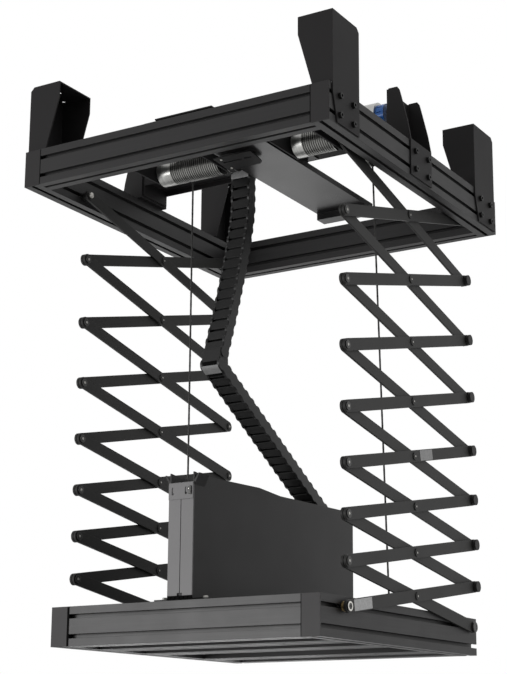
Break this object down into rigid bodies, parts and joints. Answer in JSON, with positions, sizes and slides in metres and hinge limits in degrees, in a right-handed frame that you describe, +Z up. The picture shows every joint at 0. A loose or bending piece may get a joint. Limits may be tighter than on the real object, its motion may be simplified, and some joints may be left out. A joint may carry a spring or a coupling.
{
  "type": "projector ceiling lift",
  "caption": "A black scissor lift hung from the ceiling, with a slotted profile frame at the top, folding arm pairs, steel ropes and an energy chain carrying a rectangular platform for a projector.",
  "frame": {"origin": "centre of the ceiling bolt pattern, in the plane of the hanger tops", "axes": "+X right, +Y rear, +Z up"},
  "size_m": [0.768, 0.8, 1.209],
  "materials": {
    "profile_black": "satin black anodised",
    "sheet_black": "satin black powder coat",
    "arm_paint": "satin black paint",
    "zinc": "zinc plated",
    "chain_plastic": "matte black",
    "cap_plastic": "matte black",
    "black_steel": "black oxide",
    "motor_alloy": "cast alloy",
    "motor_blue": "blue paint",
    "cover_paint": "semi-gloss black",
    "rope_steel": "bright wire",
    "belt_rubber": "matte",
    "drum_steel": "turned steel",
    "front_grey": "satin grey"
  },
  "bodies": {
    "root": {"top_front_beam": "profile_black", "top_rear_beam": "profile_black", "top_left_beam": "profile_black", "top_right_beam": "profile_black", "top_end_caps": "cap_plastic", "front_hangers": "sheet_black", "rear_hangers": "sheet_black", "mid_hangers": "sheet_black", "hanger_screws": "black_steel", "bearing_blocks": "sheet_black", "drive_bridge": "sheet_black", "gear_motor": "motor_alloy", "motor_end": "motor_blue", "cover_plate": "cover_paint", "chain_top_bracket": "chain_plastic", "chain_upper_run": "chain_plastic", "rope_wraps": "rope_steel", "lift_ropes": "rope_steel", "drive_belt": "belt_rubber", "top_pivots": "zinc"},
    "drums": {"left_drum": "drum_steel", "right_drum": "drum_steel", "drive_shaft": "drum_steel"},
    "sheave": {"rope_sheave": "drum_steel"},
    "motor_shaft": {"motor_pulley": "drum_steel"},
    "platform": {"plat_front_beam": "profile_black", "plat_rear_beam": "profile_black", "plat_left_beam": "profile_black", "plat_right_beam": "profile_black", "plat_end_caps": "cap_plastic", "underside_members": "sheet_black", "cable_tray": "sheet_black", "tray_front_plate": "front_grey", "chain_lower_run": "chain_plastic", "rope_anchors": "zinc", "bottom_pivots": "zinc"},
    "inner_arm_1": {"inner_arms_1": "arm_paint"},
    "outer_arm_1": {"outer_arms_1": "arm_paint"},
    "inner_arm_2": {"inner_arms_2": "arm_paint"},
    "outer_arm_2": {"outer_arms_2": "arm_paint"},
    "inner_arm_3": {"inner_arms_3": "arm_paint"},
    "outer_arm_3": {"outer_arms_3": "arm_paint"},
    "inner_arm_4": {"inner_arms_4": "arm_paint"},
    "outer_arm_4": {"outer_arms_4": "arm_paint"},
    "inner_arm_5": {"inner_arms_5": "arm_paint"},
    "outer_arm_5": {"outer_arms_5": "arm_paint"},
    "inner_arm_6": {"inner_arms_6": "arm_paint"},
    "outer_arm_6": {"outer_arms_6": "arm_paint"},
    "inner_arm_7": {"inner_arms_7": "arm_paint"},
    "outer_arm_7": {"outer_arms_7": "arm_paint"},
    "inner_arm_8": {"inner_arms_8": "arm_paint"},
    "outer_arm_8": {"outer_arms_8": "arm_paint"},
    "joint_pin_1": {"joint_pins_1": "zinc"},
    "joint_pin_2": {"joint_pins_2": "zinc"},
    "joint_pin_3": {"joint_pins_3": "zinc"},
    "joint_pin_4": {"joint_pins_4": "zinc"},
    "joint_pin_5": {"joint_pins_5": "zinc"},
    "joint_pin_6": {"joint_pins_6": "zinc"},
    "joint_pin_7": {"joint_pins_7": "zinc"}
  },
  "joints": [
    {"name": "lift_travel", "type": "slide", "parent": "root", "child": "platform", "axis": [0, 0, 1], "range_m": [0, 0.63], "deforming": ["lift_ropes", "chain_upper_run", "chain_lower_run"]},
    {"name": "drum_spin", "type": "hinge", "parent": "root", "child": "drums", "pos_m": [0, -0.25, -0.205], "axis": [1, 0, 0], "range_deg": [-0.05, 1225.73]},
    {"name": "sheave_spin", "type": "hinge", "parent": "root", "child": "sheave", "pos_m": [0.294, -0.082, -0.19155], "axis": [1, 0, 0], "range_deg": [-0.05, 2256.07]},
    {"name": "motor_spin", "type": "hinge", "parent": "root", "child": "motor_shaft", "pos_m": [0.062, 0, -0.066], "axis": [1, 0, 0], "range_deg": [-0.05, 1470.87]},
    {"name": "pin_rise_1", "type": "slide", "parent": "root", "child": "joint_pin_1", "axis": [0, 0, 1], "range_m": [-0.0002, 0.11034]},
    {"name": "pin_rise_2", "type": "slide", "parent": "root", "child": "joint_pin_2", "axis": [0, 0, 1], "range_m": [-0.0002, 0.21569]},
    {"name": "pin_rise_3", "type": "slide", "parent": "root", "child": "joint_pin_3", "axis": [0, 0, 1], "range_m": [-0.0002, 0.31222]},
    {"name": "pin_rise_4", "type": "slide", "parent": "root", "child": "joint_pin_4", "axis": [0, 0, 1], "range_m": [-0.0002, 0.39721]},
    {"name": "pin_rise_5", "type": "slide", "parent": "root", "child": "joint_pin_5", "axis": [0, 0, 1], "range_m": [-0.0002, 0.46972]},
    {"name": "pin_rise_6", "type": "slide", "parent": "root", "child": "joint_pin_6", "axis": [0, 0, 1], "range_m": [-0.0002, 0.53069]},
    {"name": "pin_rise_7", "type": "slide", "parent": "root", "child": "joint_pin_7", "axis": [0, 0, 1], "range_m": [-0.0002, 0.58283]},
    {"name": "inner_swing_1", "type": "hinge", "parent": "root", "child": "inner_arm_1", "pos_m": [0, -0.246, -0.215], "axis": [1, 0, 0], "range_deg": [-0.05, 10.7]},
    {"name": "outer_swing_1", "type": "hinge", "parent": "joint_pin_1", "child": "outer_arm_1", "pos_m": [0, -0.246, -0.36313], "axis": [1, 0, 0], "range_deg": [-10.94, 0.05]},
    {"name": "inner_swing_2", "type": "hinge", "parent": "joint_pin_1", "child": "inner_arm_2", "pos_m": [0, -0.246, -0.36313], "axis": [1, 0, 0], "range_deg": [-0.05, 10.01]},
    {"name": "outer_swing_2", "type": "hinge", "parent": "joint_pin_2", "child": "outer_arm_2", "pos_m": [0, -0.246, -0.50649], "axis": [1, 0, 0], "range_deg": [-10.7, 0.05]},
    {"name": "inner_swing_3", "type": "hinge", "parent": "joint_pin_2", "child": "inner_arm_3", "pos_m": [0, -0.246, -0.50649], "axis": [1, 0, 0], "range_deg": [-0.05, 8.99]},
    {"name": "outer_swing_3", "type": "hinge", "parent": "joint_pin_3", "child": "outer_arm_3", "pos_m": [0, -0.246, -0.64102], "axis": [1, 0, 0], "range_deg": [-10.01, 0.05]},
    {"name": "inner_swing_4", "type": "hinge", "parent": "joint_pin_3", "child": "inner_arm_4", "pos_m": [0, -0.246, -0.64102], "axis": [1, 0, 0], "range_deg": [-0.05, 7.8]},
    {"name": "outer_swing_4", "type": "hinge", "parent": "joint_pin_4", "child": "outer_arm_4", "pos_m": [0, -0.246, -0.76401], "axis": [1, 0, 0], "range_deg": [-8.99, 0.05]},
    {"name": "inner_swing_5", "type": "hinge", "parent": "joint_pin_4", "child": "inner_arm_5", "pos_m": [0, -0.246, -0.76401], "axis": [1, 0, 0], "range_deg": [-0.05, 6.61]},
    {"name": "outer_swing_5", "type": "hinge", "parent": "joint_pin_5", "child": "outer_arm_5", "pos_m": [0, -0.246, -0.87452], "axis": [1, 0, 0], "range_deg": [-7.8, 0.05]},
    {"name": "inner_swing_6", "type": "hinge", "parent": "joint_pin_5", "child": "inner_arm_6", "pos_m": [0, -0.246, -0.87452], "axis": [1, 0, 0], "range_deg": [-0.05, 5.6]},
    {"name": "outer_swing_6", "type": "hinge", "parent": "joint_pin_6", "child": "outer_arm_6", "pos_m": [0, -0.246, -0.97349], "axis": [1, 0, 0], "range_deg": [-6.61, 0.05]},
    {"name": "inner_swing_7", "type": "hinge", "parent": "joint_pin_6", "child": "inner_arm_7", "pos_m": [0, -0.246, -0.97349], "axis": [1, 0, 0], "range_deg": [-0.05, 4.93]},
    {"name": "outer_swing_7", "type": "hinge", "parent": "joint_pin_7", "child": "outer_arm_7", "pos_m": [0, -0.246, -1.06364], "axis": [1, 0, 0], "range_deg": [-5.6, 0.05]},
    {"name": "inner_swing_8", "type": "hinge", "parent": "joint_pin_7", "child": "inner_arm_8", "pos_m": [0, -0.246, -1.06364], "axis": [1, 0, 0], "range_deg": [-0.05, 4.69]},
    {"name": "outer_swing_8", "type": "hinge", "parent": "platform", "child": "outer_arm_8", "pos_m": [0, -0.246, -1.149], "axis": [1, 0, 0], "range_deg": [-4.93, 0.05]}
  ],
  "couplings": [
    {"joint": "drum_spin", "follows": "lift_travel", "rad_per_m": 33.956},
    {"joint": "sheave_spin", "follows": "lift_travel", "rad_per_m": 62.5},
    {"joint": "motor_spin", "follows": "lift_travel", "rad_per_m": 40.747},
    {"joint": "pin_rise_1", "follows": "lift_travel", "ratio": 0.17482},
    {"joint": "pin_rise_2", "follows": "lift_travel", "ratio": 0.34205},
    {"joint": "pin_rise_3", "follows": "lift_travel", "ratio": 0.49527},
    {"joint": "pin_rise_4", "follows": "lift_travel", "ratio": 0.63018},
    {"joint": "pin_rise_5", "follows": "lift_travel", "ratio": 0.74527},
    {"joint": "pin_rise_6", "follows": "lift_travel", "ratio": 0.84205},
    {"joint": "pin_rise_7", "follows": "lift_travel", "ratio": 0.92482},
    {"joint": "inner_swing_1", "follows": "lift_travel", "rad_per_m": 0.29493},
    {"joint": "outer_swing_1", "follows": "lift_travel", "rad_per_m": -0.30159},
    {"joint": "inner_swing_2", "follows": "lift_travel", "rad_per_m": 0.276},
    {"joint": "outer_swing_2", "follows": "lift_travel", "rad_per_m": -0.29493},
    {"joint": "inner_swing_3", "follows": "lift_travel", "rad_per_m": 0.24778},
    {"joint": "outer_swing_3", "follows": "lift_travel", "rad_per_m": -0.276},
    {"joint": "inner_swing_4", "follows": "lift_travel", "rad_per_m": 0.21462},
    {"joint": "outer_swing_4", "follows": "lift_travel", "rad_per_m": -0.24778},
    {"joint": "inner_swing_5", "follows": "lift_travel", "rad_per_m": 0.18161},
    {"joint": "outer_swing_5", "follows": "lift_travel", "rad_per_m": -0.21462},
    {"joint": "inner_swing_6", "follows": "lift_travel", "rad_per_m": 0.15372},
    {"joint": "outer_swing_6", "follows": "lift_travel", "rad_per_m": -0.18161},
    {"joint": "inner_swing_7", "follows": "lift_travel", "rad_per_m": 0.13513},
    {"joint": "outer_swing_7", "follows": "lift_travel", "rad_per_m": -0.15372},
    {"joint": "inner_swing_8", "follows": "lift_travel", "rad_per_m": 0.12861},
    {"joint": "outer_swing_8", "follows": "lift_travel", "rad_per_m": -0.13513}
  ]
}
